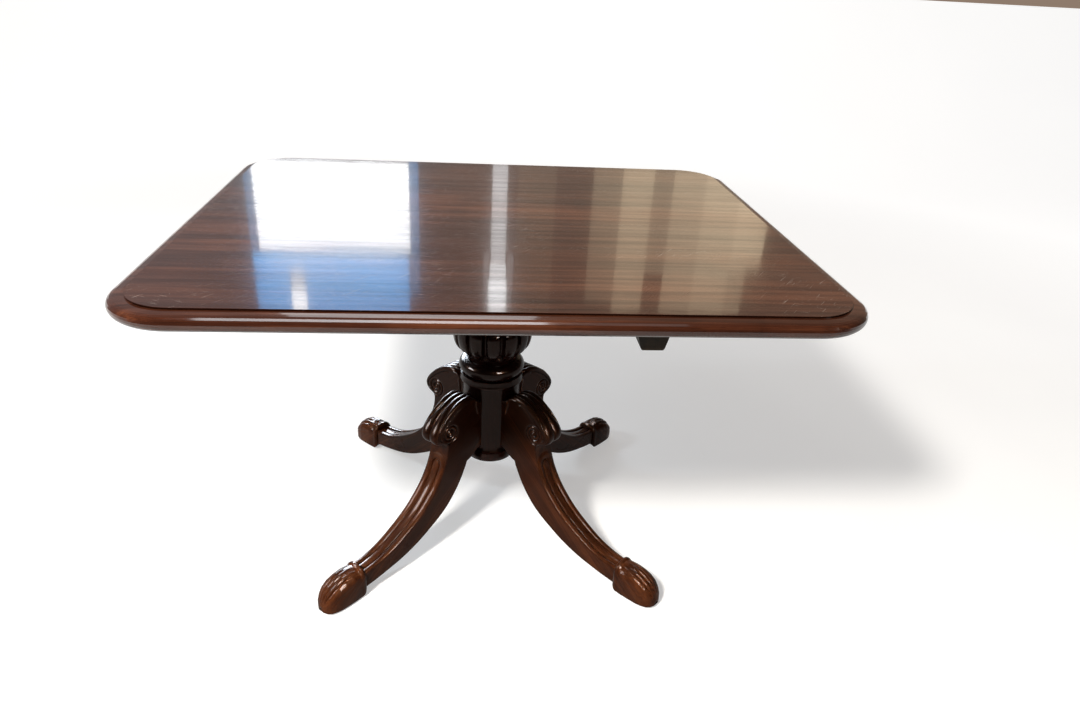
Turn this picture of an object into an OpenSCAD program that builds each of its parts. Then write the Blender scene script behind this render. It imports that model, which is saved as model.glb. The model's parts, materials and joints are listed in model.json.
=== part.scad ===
// Tilt-top breakfast table with a fluted pillar and four reeded sabre legs.
// Millimetres. Z is up, X runs along the long side of the top, Y runs front to back.
// The origin is on the floor under the middle of the pillar.

/* [Top] */
// Length of the top along X
top_l = 1205; // [1150:5:1260]
// Depth of the top along Y
top_w = 1030; // [1000:5:1080]
// Height of the top surface above the floor
table_h = 730; // [725:1:760]
// Thickness of the top at its edge
top_t = 28.5; // [26:0.5:34]
// Radius of the corners of the top in plan
corner_r = 114; // [95:1:150]
// Width of the stepped moulding round the top
step_in = 27; // [22:1:34]
// Depth of the step at the inside of the moulding
step_d = 3.5; // [2:0.5:5]

/* [Bearers] */
// Distance of each bearer from the middle of the top
bearer_x = 234; // [230:1:250]
// Width of a bearer where it meets the top
bearer_w = 57; // [50:1:62]
// Width of a bearer at its underside
bearer_low_w = 37; // [30:1:44]
// Distance from the front edge to the end of the right bearer
right_end = 36; // [30:1:60]
// Distance from the front edge to the end of the left bearer
left_end = 130; // [110:5:180]

/* [Tilt block] */
// Thickness of the block on the pillar
block_t = 37; // [34:1:42]
// Distance of the pivot pins behind the middle of the pillar
pivot_y = 150; // [148:1:160]
// Length of a pivot pin
pin_len = 86; // [76:1:92]
// Radius of the pivot pins
pin_r = 7; // [5:0.5:8]

/* [Pillar] */
// Widest radius of the fluted bowl
bowl_r = 88; // [85:1:92]
// Number of flutes round the bowl
flutes = 14; // [12:1:16]
// Width of each flute
flute_w = 13; // [10:0.5:15]
// Depth of each flute
flute_d = 9; // [5:0.5:10]
// Radius of the rounded collar
collar_r = 72.5; // [70:0.5:76]
// Radius of the block that takes the legs
hub_r = 64; // [62:0.5:66]
// Radius of the turned drop under the block
drop_r = 56; // [50:1:60]

/* [Legs] */
// Width of a leg at the knee
knee_w = 54; // [50:1:58]
// Width of a leg at the ankle
ankle_w = 44; // [40:1:46]
// Height of the reeds
reed_h = 4.5; // [3:0.5:6]
// Depth of the groove that outlines the panel down the front of a leg
panel_d = 2.5; // [1.5:0.5:4]
// Half width of that narrow panel
panel_half = 10; // [8:0.5:12]
// Depth of the carved volutes
volute_d = 2; // [1:0.25:3]

/* [Feet] */
// Distance of the tip of each toe from the middle of the pillar
toe_at = 489; // [484:1:500]
// Widest part of a foot
foot_w = 58; // [54:1:62]
// Number of carved lobes over a foot
lobes = 5; // [3:1:6]

/* [Castors] */
// Radius of a castor wheel
wheel_r = 12; // [11:0.5:12.5]
// Width of a castor wheel
wheel_w = 10; // [8:0.5:11]
// How far a wheel trails behind its swivel
trail = 6; // [5:0.5:6.5]

/* [Hidden] */

// Small amounts
over = 1;
glue_gap = 0.1;
run_gap = 0.06;
seat_gap = 0.3;
screw_fn = 32;
round_fn = 64;
turn_fn = 96;

// Colours
wood_dark = [0.25, 0.11, 0.07];
wood_mid = [0.36, 0.16, 0.09];
wood_warm = [0.42, 0.20, 0.10];
brass = [0.72, 0.57, 0.28];
iron = [0.30, 0.30, 0.32];

// Azimuth of each leg
az_fl = 225;
az_fr = 315;
az_bl = 135;
az_br = 45;

// Levels of the top and the block
under_z = table_h - top_t;
seat_z = under_z - glue_gap;
block_z = seat_z - block_t;
pin_z = seat_z - block_t / 2;
board_y = [-top_w / 6, top_w / 6];

// A smooth open curve through the given points
function cr(a, b, c, d, t) = 0.5 * ((2 * b) + (c - a) * t + (2 * a - 5 * b + 4 * c - d) * t * t
  + (3 * b - a - 3 * c + d) * t * t * t);
function pick(p, i) = p[max(0, min(len(p) - 1, i))];
function smooth(p, n) = concat([for (i = [0 : len(p) - 2], k = [0 : n - 1])
  cr(pick(p, i - 1), pick(p, i), pick(p, i + 1), pick(p, i + 2), k / n)], [p[len(p) - 1]]);
function flip(p) = [for (i = [len(p) - 1 : -1 : 0]) p[i]];
function tangent(p, i) = pick(p, min(i + 1, len(p) - 1)) - pick(p, max(i - 1, 0));
function unit(v) = v / norm(v);
// The normal on the left of the direction of travel
function left_of(v) = [-v[1], v[0]];
function shifted(p, d) = [for (i = [0 : len(p) - 1]) p[i] + d * unit(left_of(tangent(p, i)))];

// The middle of a ring, between its two base points and the two above them
function ring_mid(r) = (r[0] + r[1] + r[2] + r[len(r) - 1]) / 4;

// A closed skin over rings of equal length, with a flat cap at each end
module skin(rings) {
  n = len(rings[0]);
  m = len(rings);
  pts = concat([for (r = rings, p = r) p], [ring_mid(rings[0]), ring_mid(rings[m - 1])]);
  side = [for (i = [0 : m - 2], j = [0 : n - 1]) each [
    [i * n + j, i * n + (j + 1) % n, (i + 1) * n + j],
    [i * n + (j + 1) % n, (i + 1) * n + (j + 1) % n, (i + 1) * n + j]]];
  caps = [for (j = [0 : n - 1]) each [[m * n, (j + 1) % n, j],
    [m * n + 1, (m - 1) * n + j, (m - 1) * n + (j + 1) % n]]];
  polyhedron(points = pts, faces = concat(side, caps), convexity = 8);
}

// Top

// Half section of the moulded edge, as inset from the outline and height above the underside
function edge_low(t) = [[6, 0], [2.2, t * 0.13], [0.4, t * 0.27], [0, t * 0.42], [0.9, t * 0.56],
  [3, t * 0.68], [6.5, t * 0.77], [11, t * 0.825], [17, t - step_d - 0.6], [22, t - step_d],
  [step_in, t - step_d], [step_in, t]];
edge_pts = edge_low(top_t);

module edge_section(reach) {
  polygon(concat([for (p = edge_pts) [reach - p[0], p[1]]], [[0, top_t], [0, 0]]));
}

module top_solid() {
  hx = top_l / 2 - corner_r;
  hy = top_w / 2 - corner_r;
  translate([0, 0, under_z]) {
    for (a = [0 : 3]) {
      sx = (a == 0 || a == 3) ? 1 : -1;
      sy = a < 2 ? 1 : -1;
      translate([sx * hx, sy * hy, 0]) rotate([0, 0, a * 90])
        rotate_extrude(angle = 90, $fn = turn_fn) edge_section(corner_r);
    }
    for (s = [0, 180]) rotate([0, 0, s]) {
      translate([-hx, -hy, 0]) rotate([90, 0, 90]) mirror([1, 0, 0])
        linear_extrude(2 * hx) edge_section(corner_r);
      translate([hx, hy, 0]) rotate([90, 0, 0]) linear_extrude(2 * hy) edge_section(corner_r);
    }
    translate([-hx, -hy, 0]) cube([2 * hx, 2 * hy, top_t]);
  }
}

// The stretch of the top between two lines across it
module board(y0, y1) {
  intersection() {
    top_solid();
    translate([-top_l, y0, under_z - over]) cube([2 * top_l, y1 - y0, top_t + 2 * over]);
  }
}

screw_r = 2.6;
screw_head_r = 5;
screw_head_h = 3;
screw_len = 42;
screw_sink = 24;
bearer_screw_z = under_z - screw_sink;
// Each bearer's screws, as shares of the top's width
right_screw_y = [for (k = [-0.417, -0.218, 0.058, 0.32]) k * top_w];
left_screw_y = [for (k = [-0.33, -0.209, 0.058, 0.32]) k * top_w];

module screw_holes(x, ys) {
  for (y = ys) translate([x, y, bearer_screw_z])
    cylinder(h = screw_len, r = screw_r + glue_gap, $fn = screw_fn);
}

module bearer_holes() {
  screw_holes(bearer_x, right_screw_y);
  screw_holes(-bearer_x, left_screw_y);
}

catch_gap = 3;
block_front = -pivot_y - block_t / 2;
catch_y = block_front - catch_gap;
case_l = 62;
case_w = 46;
case_t = 18;
case_y = catch_y - case_l;
flange_t = 2;
catch_screw_at = [[-17, 9], [17, 9], [-17, case_l - 13], [17, case_l - 13]];
catch_screw_r = 1.6;
catch_screw_len = 14;

module catch_screw_set(extra) {
  for (p = catch_screw_at) translate([p[0], case_y + p[1], under_z - flange_t])
    cylinder(h = catch_screw_len, r = catch_screw_r + extra, $fn = screw_fn);
}

module top_board_front() {
  color(wood_warm) difference() {
    board(-top_w, board_y[0]);
    bearer_holes();
    catch_screw_set(glue_gap);
  }
}

module top_board_middle() {
  color(wood_mid) difference() {
    board(board_y[0], board_y[1]);
    bearer_holes();
    catch_screw_set(glue_gap);
  }
}

module top_board_back() {
  color(wood_warm) difference() {
    board(board_y[1], top_w);
    bearer_holes();
  }
}

// Bearers

bearer_t = block_t;
bearer_round = 7;
rear_end = 70;
pin_socket = 8;

module bearer_section() {
  lw = bearer_low_w / 2 - bearer_round;
  intersection() {
    polygon([[-bearer_w / 2, 0], [bearer_w / 2, 0], [bearer_low_w / 2, -bearer_t],
      [-bearer_low_w / 2, -bearer_t]]);
    union() {
      translate([-bearer_w / 2, -bearer_t + bearer_round]) square([bearer_w, bearer_t]);
      translate([-lw - 1, -bearer_t]) square([2 * lw + 2, bearer_t]);
      for (s = [-1, 1]) translate([s * lw, -bearer_t + bearer_round])
        circle(r = bearer_round + 1.6, $fn = round_fn);
    }
  }
}

module bearer(x, y0, y1, ys, inner) {
  difference() {
    translate([x, y1, under_z]) rotate([90, 0, 0]) linear_extrude(y1 - y0) bearer_section();
    translate([x + inner * over, pivot_y, pin_z]) rotate([0, -inner * 90, 0])
      translate([0, 0, -pin_socket]) cylinder(h = bearer_w, r = pin_r + run_gap, $fn = round_fn);
    screw_holes(x, ys);
    for (y = ys) translate([x, y, under_z - bearer_t - over])
      cylinder(h = bearer_t + over - screw_sink + glue_gap / 2, r = screw_head_r + glue_gap,
        $fn = screw_fn);
  }
}

module bearer_right() {
  color(wood_dark)
    bearer(bearer_x, -top_w / 2 + right_end, top_w / 2 - rear_end, right_screw_y, 1);
}

module bearer_left() {
  color(wood_dark)
    bearer(-bearer_x, -top_w / 2 + left_end, top_w / 2 - rear_end, left_screw_y, -1);
}

module wood_screw(h, r, head_r, head_h) {
  translate([0, 0, -head_h]) cylinder(h = head_h, r = head_r, $fn = screw_fn);
  cylinder(h = h, r = r, $fn = screw_fn);
}

module bearer_screw_row(x, ys) {
  for (y = ys) translate([x, y, bearer_screw_z])
    wood_screw(screw_len - screw_head_h, screw_r, screw_head_r, screw_head_h);
}

module bearer_screws() {
  color(iron) {
    bearer_screw_row(bearer_x, right_screw_y);
    bearer_screw_row(-bearer_x, left_screw_y);
  }
}

// Catch

bolt_w = 12;
bolt_h = 8;
bolt_z = under_z - 11;
bolt_low = bolt_z - bolt_h / 2;
bolt_len = 66;
bolt_bevel = 6;
stem_r = 2;
stem_in = 4.5;
stem_out = 4;
bolt_reach = 1;
throw = 11;
knob_y = case_y + 26;
knob_slot = 3.2;
knob_r = 7;
knob_h = 9;
bolt_wall = 3;

module catch_case() {
  color(brass) difference() {
    union() {
      translate([-case_w / 2, case_y, under_z - flange_t]) cube([case_w, case_l, flange_t]);
      translate([-bolt_w / 2 - bolt_wall, case_y, under_z - case_t])
        cube([bolt_w + 2 * bolt_wall, case_l, case_t]);
    }
    translate([-bolt_w / 2 - run_gap, case_y - over, bolt_low - run_gap])
      cube([bolt_w + 2 * run_gap, case_l + 2 * over, bolt_h + 2 * run_gap]);
    translate([-knob_slot, knob_y - knob_slot, under_z - case_t - over])
      cube([2 * knob_slot, throw + 2 * knob_slot, bolt_low - under_z + case_t + 2 * over]);
    catch_screw_set(run_gap);
  }
}

module catch_screws() {
  color(brass) for (p = catch_screw_at) translate([p[0], case_y + p[1], under_z - flange_t])
    wood_screw(catch_screw_len - 2, catch_screw_r, 3, 1.5);
}

module catch_bolt() {
  tip = catch_y + bolt_reach;
  color(brass) difference() {
    translate([-bolt_w / 2, 0, bolt_low]) rotate([90, 0, 90]) linear_extrude(bolt_w)
      polygon([[tip - bolt_len, 0], [tip - bolt_bevel, 0], [tip, bolt_bevel - 1], [tip, bolt_h],
        [tip - bolt_len, bolt_h]]);
    translate([0, knob_y, bolt_low - over])
      cylinder(h = stem_in + 0.5 + over, r = stem_r + glue_gap, $fn = round_fn);
  }
}

module catch_knob() {
  color(brass) translate([0, knob_y, bolt_low]) rotate_extrude($fn = round_fn)
    polygon(concat([[0, -stem_out - knob_h]],
      smooth([[knob_r - 3, -stem_out - knob_h], [knob_r, -stem_out - knob_h + 2.5],
        [knob_r, -stem_out - 3], [stem_r + 1.5, -stem_out]], 4),
      [[stem_r, -stem_out], [stem_r, stem_in], [0, stem_in]]));
}

// Tilt block and pins

block_side_gap = 1.5;
block_x = bearer_x - bearer_w / 2 - block_side_gap;
block_round = 6;
tenon_r = 22;
tenon_end = 0.5;
pin_end = 0.5;
pin_hold = pin_len - block_side_gap - bearer_w / 2 - pin_socket + 2;
strike_t = 2;
strike_w = 34;
strike_h = 16;
strike_low = bolt_z - 7;
strike_screw_x = 12;
strike_screw_r = 1.3;
strike_screw_l = 11;
bolt_room = 1;
bolt_pocket = 14;

module tilt_block() {
  color(wood_dark) difference() {
    union() {
      translate([-block_x, block_front + block_round, block_z])
        cube([2 * block_x, pivot_y - block_front - block_round, block_t]);
      translate([-block_x, pivot_y, pin_z]) rotate([0, 90, 0])
        cylinder(h = 2 * block_x, r = block_t / 2, $fn = turn_fn);
      translate([-block_x, block_front, block_z + block_round])
        cube([2 * block_x, 2 * block_round, block_t - block_round]);
      translate([-block_x, block_front + block_round, block_z + block_round]) rotate([0, 90, 0])
        cylinder(h = 2 * block_x, r = block_round, $fn = round_fn);
    }
    translate([0, 0, block_z - over])
      cylinder(h = block_t + 2 * over, r = tenon_r + glue_gap, $fn = turn_fn);
    for (s = [-1, 1]) translate([s * (block_x + over), pivot_y, pin_z]) rotate([0, -s * 90, 0])
      cylinder(h = pin_hold + over, r = pin_r + glue_gap, $fn = round_fn);
    translate([-bolt_w / 2 - bolt_room, block_front - over, bolt_low - bolt_room])
      cube([bolt_w + 2 * bolt_room, bolt_pocket, bolt_h + 2 * bolt_room]);
    translate([-strike_w / 2, block_front - over, strike_low])
      cube([strike_w, strike_t + over, strike_h]);
    strike_holes(strike_screw_l + over, glue_gap);
  }
}

module strike_holes(l, extra) {
  for (s = [-1, 1]) translate([s * strike_screw_x, block_front - over, bolt_z]) rotate([-90, 0, 0])
    cylinder(h = l + over, r = strike_screw_r + extra, $fn = screw_fn);
}

module pivot_pin(s) {
  color(iron) translate([s * (block_x - pin_hold + pin_end), pivot_y, pin_z]) rotate([0, s * 90, 0])
    cylinder(h = pin_len - 2 * pin_end, r = pin_r, $fn = round_fn);
}

module pivot_pin_left() {
  pivot_pin(-1);
}

module pivot_pin_right() {
  pivot_pin(1);
}

module strike_plate() {
  room = bolt_room - 0.2;
  color(brass) difference() {
    translate([-strike_w / 2, block_front, strike_low]) cube([strike_w, strike_t, strike_h]);
    translate([-bolt_w / 2 - room, block_front - over, bolt_low - room])
      cube([bolt_w + 2 * room, strike_t + 2 * over, bolt_h + 2 * room]);
    strike_holes(strike_t + over, run_gap);
  }
}

module strike_screws() {
  color(brass) for (s = [-1, 1]) translate([s * strike_screw_x, block_front, bolt_z])
    rotate([-90, 0, 0]) wood_screw(strike_screw_l, strike_screw_r, 2.4, 0.8);
}

// Pillar

tenon_low_r = 30;
drop_z = 169;
hub_z = 212;
drum_z = 364;
collar_z = 382;
collar_top = 418;
neck_z = 428;
bowl_top = 520;

neck_r = 55;
drum_r = 69;
collar_round = (collar_top - collar_z) / 2;
bead_base_z = 522;
shaft_z = 545;
cap_h = 28.4;
cap_z = block_z - cap_h;
shaft_h = cap_z - shaft_z;
cap_r = 84;
tenon_low_z = drop_z + 6;

bowl_pts = smooth([[neck_r + 1, neck_z], [neck_r + 6, neck_z + 3.5], [bowl_r - 19, neck_z + 11],
  [bowl_r - 9, neck_z + 20.5], [bowl_r - 3, neck_z + 34], [bowl_r, neck_z + 56],
  [bowl_r - 3, bowl_top - 20], [bowl_r - 12, bowl_top - 8], [bowl_r - 23, bowl_top]], 2);
bead_pts = smooth([[62, bead_base_z + 9], [64, bead_base_z + 14], [62, bead_base_z + 19]], 3);
shaft_pts = smooth([[52, shaft_z], [47, shaft_z + shaft_h * 0.12], [44, shaft_z + shaft_h * 0.34],
  [45, shaft_z + shaft_h * 0.6], [51, shaft_z + shaft_h * 0.85], [60, cap_z]], 4);
ring_pts = smooth([[68, cap_z + 2], [71, cap_z + 7], [68, cap_z + 12]], 3);
cap_pts = smooth([[cap_r - 10, cap_z + 15], [cap_r - 2, cap_z + 20], [cap_r, block_z]], 3);

module column() {
  color(wood_dark) difference() {
    rotate_extrude($fn = turn_fn)
      polygon(concat([[0, tenon_low_z], [tenon_low_r, tenon_low_z], [tenon_low_r, collar_top],
        [neck_r, collar_top], [neck_r, neck_z - 1]], bowl_pts, [[60, bead_base_z], [58, bead_base_z + 6]],
        bead_pts, shaft_pts, ring_pts, cap_pts,
        [[tenon_r, block_z], [tenon_r, seat_z - tenon_end], [0, seat_z - tenon_end]]));
    intersection() {
      for (i = [0 : flutes - 1]) rotate([0, 0, (i + 0.5) * 360 / flutes - 90]) flute();
      flute_shell();
    }
  }
}

// One flute cut into the bowl, round at its foot and its top
flute_lo = neck_z + 5;
flute_hi = bowl_top - 8;

module flute() {
  rotate([90, 0, 90]) linear_extrude(2 * bowl_r) union() {
    translate([0, flute_lo + flute_w / 2]) circle(d = flute_w, $fn = 32);
    translate([-flute_w / 2, flute_lo + flute_w / 2]) square([flute_w, flute_hi - flute_lo - flute_w]);
    translate([0, flute_hi - flute_w / 2]) circle(d = flute_w, $fn = 32);
  }
}

// The space outside the floor of the flutes
module flute_shell() {
  rotate_extrude($fn = turn_fn) polygon(concat(shifted(bowl_pts, flute_d),
    [[2 * bowl_r, bowl_top], [2 * bowl_r, neck_z]]));
}

// The bore for the pillar's lower tenon, upwards from a level
module tenon_bore(z) {
  translate([0, 0, z]) cylinder(h = collar_top, r = tenon_low_r + glue_gap, $fn = turn_fn);
}

module collar() {
  fillet_w = 0.8;
  color(wood_dark) difference() {
    rotate_extrude($fn = turn_fn) union() {
      translate([0, drum_z]) square([drum_r, collar_z - drum_z]);
      translate([drum_r, drum_z]) polygon([[0, 0], [fillet_w, 1.5], [fillet_w, 5], [0, 6.5]]);
      translate([0, collar_z]) square([collar_r - collar_round, collar_top - collar_z]);
      translate([collar_r - collar_round, collar_z + collar_round])
        circle(r = collar_round, $fn = round_fn);
    }
    tenon_bore(drum_z - over);
  }
}

leg_tenon_w = 20;
leg_tenon_l = 22;
tenon_lo = 232;
tenon_hi = 322;

module leg_block() {
  color(wood_dark) difference() {
    translate([0, 0, hub_z]) cylinder(h = drum_z - hub_z, r = hub_r, $fn = turn_fn);
    tenon_bore(hub_z - over);
    for (a = [az_fl, az_fr, az_bl, az_br]) rotate([0, 0, a])
      translate([hub_r - leg_tenon_l, -leg_tenon_w / 2 - glue_gap, tenon_lo - glue_gap])
        cube([leg_tenon_l + 10, leg_tenon_w + 2 * glue_gap, tenon_hi - tenon_lo + 2 * glue_gap]);
  }
}

module base_drop() {
  ring_h = 21;
  cove_r = drop_r - 9;
  color(wood_dark) difference() {
    rotate_extrude($fn = turn_fn) polygon(concat([[0, drop_z], [drop_r - 6, drop_z]],
      smooth([[drop_r - 2, drop_z + 2], [drop_r, drop_z + ring_h / 2 + 1],
        [drop_r - 2, drop_z + ring_h]], 5),
      [[drop_r - 7, drop_z + ring_h + 2]],
      smooth([[cove_r, drop_z + ring_h + 7], [cove_r, drop_z + ring_h + 13],
        [drop_r - 3, drop_z + ring_h + 21]], 4),
      [[drop_r - 3, hub_z], [0, hub_z]]));
    tenon_bore(tenon_low_z - tenon_end);
  }
}

// Legs, drawn in their own plane: distance from the pillar, then height

ankle_at = 391;
root_in = 40;
knee_out = 180;
leg_room = 400;
foot_tenon_w = 22;
foot_tenon_h = 24;
foot_tenon_z = 24;
foot_tenon_l = 14;
tenon_root = 5;
knee_pts = [[50, 333], [63, 335], [71, 340.5], [79, 347.5], [92, 352], [110, 352], [128, 346.5],
  [146, 335.5], [161, 324.5], [173, 314], [181.5, 304.5], [187, 296], [188.5, 289], [187, 282],
  [183, 276.5], [176.5, 272], [168.5, 269], [162.5, 266], [160, 260]];
front_pts = [[160, 260], [160.5, 249], [162.8, 237], [167, 222], [174.5, 201], [185.5, 180.5],
  [199, 161], [218, 140], [244, 117], [279, 94], [318, 73.5], [355, 61.5], [ankle_at, 56]];
back_pts = [[50, 217], [66, 217], [82, 206], [93, 199.5], [101, 197], [104, 189], [112, 173], [124, 152],
  [141, 129], [164, 105], [188, 87.5], [213, 72.5], [236, 59.8], [260, 48.8], [284, 40], [308, 33.2],
  [332, 28], [360, 22.5], [ankle_at, 18]];
knee_line = smooth(knee_pts, 3);
front_line = smooth(front_pts, 4);
back_line = smooth(back_pts, 2);

module leg_outline() {
  polygon(concat(knee_line, [for (i = [1 : len(front_line) - 1]) front_line[i]], flip(back_line)));
}

module leg_plan() {
  polygon([[root_in, -knee_w / 2], [knee_out, -knee_w / 2], [ankle_at, -ankle_w / 2],
    [ankle_at, ankle_w / 2], [knee_out, knee_w / 2], [root_in, knee_w / 2]]);
}

// The reeds over the knee, as one crown with a bump for each reed
bump_n = 4;
reed_path = smooth([for (i = [3 : len(knee_pts) - 3]) knee_pts[i]], 2);

function crown_up(p, i) = i == 0 ? [0, 1]
  : i == len(p) - 1 ? [0, -1]
  : unit(left_of(tangent(p, i)));
// The base of the crown sits just proud of the leg, and sinks into it at both ends
function crown_base(p, i) = i == 0 || i == len(p) - 1 ? -1.2 : 0.3;
// Four even reeds near the pillar, of which the middle two widen towards the scroll
reeds = 4;
// Share of the half width that a middle reed takes, near the pillar and at the scroll
split_high = 0.5;
split_low = 0.9;
// Width at which a side reed has its full height, and at which a middle one has
side_full = 9;
middle_full = 13.5;
function ease(x) = let (k = max(0, min(1, x))) k * k * (3 - 2 * k);
function reed_split(t) = split_high + (split_low - split_high) * ease((t - 0.3) / 0.4);
function reed_y(s, c) = lookup(s, [[0, -1], [1, -c], [2, 0], [3, c], [4, 1]]);
function reed_share(s, w, c) = s < 1 || s > 3 ? min(1, (1 - c) * w / side_full)
  : min(1.1, sqrt(c * w / middle_full));
function crown_ring(p, i, w, h, c) = let (q = p[i], n = crown_up(p, i))
  concat([[q[0] - 3 * n[0], w, q[1] - 3 * n[1]], [q[0] - 3 * n[0], -w, q[1] - 3 * n[1]]],
    [for (k = [0 : reeds * bump_n]) let (s = k / bump_n, f = s - floor(s),
      u = crown_base(p, i) + h * reed_share(s, w, c) * sin(180 * f))
      [q[0] + u * n[0], w * reed_y(s, c), q[1] + u * n[1]]]);

function reed_w(t) = (knee_w / 2 - 0.4) * (t < 0.22 ? 0.3 + 0.7 * sin(90 * t / 0.22) : 1);
function reed_rise(t) = reed_h * (t < 0.12 ? sqrt(t / 0.12) * 0.9 + 0.1
  : t > 0.85 ? 0.12 + 0.88 * (1 - t) / 0.15
  : 1);

module reed_crown() {
  m = len(reed_path) - 1;
  skin([for (i = [0 : m]) crown_ring(reed_path, i, reed_w(i / m), reed_rise(i / m), reed_split(i / m))]);
}

// A groove round a narrow panel with a round head, down the front of the leg
panel_head_z = 211;
panel_from = 170.5;
panel_low = panel_half - 1;
panel_groove = 3;

module panel_plan(extra) {
  linear_extrude(leg_room) polygon([[panel_from, -panel_half - extra],
    [ankle_at - 8 + extra, -panel_low - extra], [ankle_at - 8 + extra, panel_low + extra],
    [panel_from, panel_half + extra]]);
  translate([0, 0, panel_head_z]) rotate([0, 90, 0])
    cylinder(h = leg_room, r = panel_half + extra, $fn = round_fn);
}

module panel_cut() {
  line = [for (p = front_line) if (p[1] < panel_head_z + 16) p];
  intersection() {
    rotate([90, 0, 0]) translate([0, 0, -knee_w]) linear_extrude(2 * knee_w)
      polygon(concat(shifted(line, panel_d * -1), flip(shifted(line, 6))));
    difference() {
      panel_plan(panel_groove / 2);
      panel_plan(-panel_groove / 2);
    }
  }
}

// Spiral groove cut in a side of the knee
volute_c = [152.5, 289.5];
volute_turns = 2.1;
groove_half = 1.5;
rim_in = 7;
volute_in = 3.5;
volute_out = 21;
function volute_r(t) = volute_in + (volute_out - volute_in) * pow(t, 0.85);
function volute_pt(t, d) = let (a = -70 - 360 * volute_turns * (1 - t), r = volute_r(t) + d)
  volute_c + r * [cos(a), sin(a)];
volute_n = 60;

// A groove along the rim of the knee, then the spiral
module volute() {
  rim = [for (i = [15 : len(knee_line) - 8]) knee_line[i]];
  polygon(concat(shifted(rim, -rim_in), flip(shifted(rim, -rim_in - 2 * groove_half))));
  polygon(concat([for (i = [0 : volute_n]) volute_pt(i / volute_n, groove_half)],
    [for (i = [volute_n : -1 : 0]) volute_pt(i / volute_n, -groove_half)]));
}

module leg() {
  color(wood_warm) difference() {
    union() {
      intersection() {
        rotate([90, 0, 0]) translate([0, 0, -knee_w]) linear_extrude(2 * knee_w) leg_outline();
        linear_extrude(leg_room) leg_plan();
      }
      reed_crown();
      translate([hub_r - leg_tenon_l + glue_gap, -leg_tenon_w / 2, tenon_lo])
        cube([2 * leg_tenon_l, leg_tenon_w, tenon_hi - tenon_lo]);
      translate([ankle_at - tenon_root, -foot_tenon_w / 2, foot_tenon_z])
        cube([tenon_root + foot_tenon_l, foot_tenon_w, foot_tenon_h]);
    }
    difference() {
      cylinder(h = leg_room, r = hub_r + glue_gap, $fn = turn_fn);
      translate([0, -leg_tenon_w / 2, tenon_lo])
        cube([hub_r + over, leg_tenon_w, tenon_hi - tenon_lo]);
    }
    panel_cut();
    for (s = [-1, 1]) translate([0, s * knee_w / 2, 0]) rotate([90, 0, 0]) translate([0, 0, -volute_d])
      linear_extrude(2 * volute_d) volute();
  }
}

module leg_front_left() {
  rotate([0, 0, az_fl]) leg();
}

module leg_front_right() {
  rotate([0, 0, az_fr]) leg();
}

module leg_back_left() {
  rotate([0, 0, az_bl]) leg();
}

module leg_back_right() {
  rotate([0, 0, az_br]) leg();
}

// Feet

foot_z = 4;
foot_h = 73;
toe_len = toe_at - ankle_at;
// Height of the top of the foot, its half width, and the height of its plain sides, from heel to toe
function foot_t(t) = foot_h * lookup(t, [[0, 0.918], [0.04, 1], [0.09, 1], [0.13, 0.945],
  [0.3, 0.966], [0.5, 0.938], [0.65, 0.87], [0.78, 0.753], [0.88, 0.603], [0.95, 0.445], [1, 0.274]]);
function foot_b(t) = foot_w * lookup(t, [[0, 0.42], [0.04, 0.46], [0.09, 0.46], [0.13, 0.45],
  [0.3, 0.47], [0.5, 0.5], [0.65, 0.495], [0.78, 0.455], [0.88, 0.385], [0.95, 0.29], [1, 0.14]]);
function foot_s(t) = foot_h * lookup(t, [[0, 0.685], [0.13, 0.685], [0.5, 0.603], [0.78, 0.438],
  [0.95, 0.247], [1, 0.151]]);
function foot_low(t) = foot_z + foot_h * lookup(t, [[0, 0.082], [0.04, 0.048], [0.09, 0], [0.88, 0],
  [0.95, 0.014], [1, 0.041]]);
function lobe_h(t) = lookup(t, [[0, 0], [0.12, 0], [0.2, 2.6], [0.7, 3], [1, 0.8]]);
arch_n = 4;

function foot_ring(t) = let (b = foot_b(t), z0 = foot_low(t), z1 = foot_s(t), z2 = foot_t(t),
    x = ankle_at + toe_len * t)
  concat([[x, b * 0.94, z0], [x, -b * 0.94, z0]],
    [for (k = [0 : lobes * arch_n]) let (s = k / arch_n, f = s - floor(s),
      a = 180 - 180 * k / (lobes * arch_n), u = 1 + lobe_h(t) / 30 * (sin(180 * f) - 0.8))
      [x, b * cos(a) * (u * 0.3 + 0.7), z1 + (z2 - z1) * pow(sin(a), 0.8) * u]]);
foot_steps = [0, 0.04, 0.09, 0.13, 0.2, 0.3, 0.4, 0.5, 0.6, 0.7, 0.78, 0.84, 0.89, 0.935, 0.97, 1];

castor_at = 437;
recess_r = 19.5;
recess_top = 38;
plate_t = 2.5;
castor_screw_at = [90, 210, 330];
castor_screw_out = 13;
castor_screw_r = 1.5;
castor_screw_l = plate_t + 10;
rivet_r = 5.4;
rivet_h = 2.2;
rivet_z = recess_top + seat_gap;

module foot() {
  color(wood_warm) difference() {
    skin([for (t = foot_steps) foot_ring(t)]);
    translate([ankle_at - over, -foot_tenon_w / 2 - glue_gap, foot_tenon_z - glue_gap])
      cube([over + foot_tenon_l + 1, foot_tenon_w + 2 * glue_gap, foot_tenon_h + 2 * glue_gap]);
    translate([castor_at, 0, 0]) {
      cylinder(h = recess_top, r = recess_r, $fn = turn_fn);
      cylinder(h = rivet_z + rivet_h + over, r = rivet_r + 0.6, $fn = round_fn);
      castor_screw_holes(recess_top - over, castor_screw_l, glue_gap);
    }
  }
}

module foot_front_left() {
  rotate([0, 0, az_fl]) foot();
}

module foot_front_right() {
  rotate([0, 0, az_fr]) foot();
}

module foot_back_left() {
  rotate([0, 0, az_bl]) foot();
}

module foot_back_right() {
  rotate([0, 0, az_br]) foot();
}

// Castors, each about its own swivel

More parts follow.
